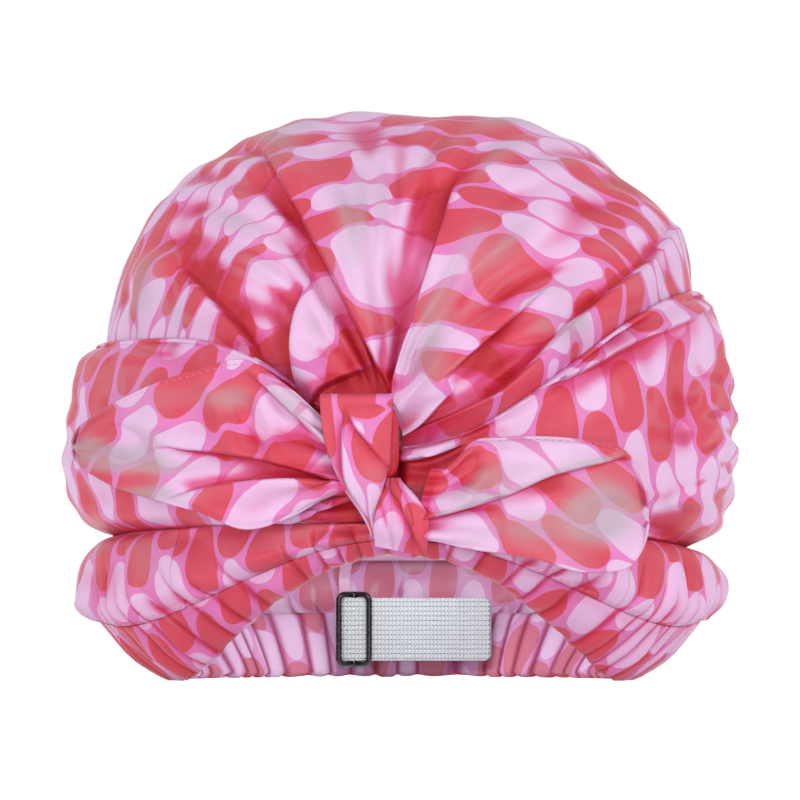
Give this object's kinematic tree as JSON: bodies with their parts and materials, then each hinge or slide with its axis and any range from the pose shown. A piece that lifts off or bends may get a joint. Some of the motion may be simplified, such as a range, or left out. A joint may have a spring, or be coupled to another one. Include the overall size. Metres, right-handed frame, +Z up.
{
  "type": "shower cap",
  "caption": "Turban-style shower cap of printed satin with a knotted front, bow petals, an elastic gathered hem and a size strap with a wire slide.",
  "frame": {"origin": "on the floor plane under the middle of the cap's bounding box, with the hem standing on z = 0", "axes": "+Z up through the crown; -Y out of the front through the knot; +X towards the right seen from the front"},
  "size_m": [0.2611, 0.242, 0.2202],
  "materials": {
    "printed_satin": "satin polyester printed all over in coral red and pale pink on mid pink",
    "coral_satin": "satin polyester in the print's coral red",
    "pale_lining": "smooth coated cloth, pale dusty pink",
    "white_elastic": "knitted elastic webbing, matt white",
    "black_wire": "gloss black coated steel wire"
  },
  "bodies": {
    "cap": {"crown_panel": "printed_satin", "lining": "pale_lining", "wrap_roll_left": "printed_satin", "wrap_roll_right": "printed_satin", "hem_casing": "printed_satin", "hem_elastic": "white_elastic", "hem_front": "printed_satin", "hem_left": "printed_satin", "hem_right": "printed_satin", "knot_core": "coral_satin", "knot_wrap": "printed_satin", "knot_tail": "printed_satin", "bow_petal_left": "printed_satin", "bow_petal_right": "printed_satin", "adjuster_strap": "white_elastic", "seam_binding": "pale_lining"},
    "slide": {"slider_buckle": "black_wire"}
  },
  "joints": [
    {"name": "strap_adjust", "type": "slide", "parent": "cap", "child": "slide", "axis": [1, 0, 0], "range_m": [0, 0.036]}
  ]
}
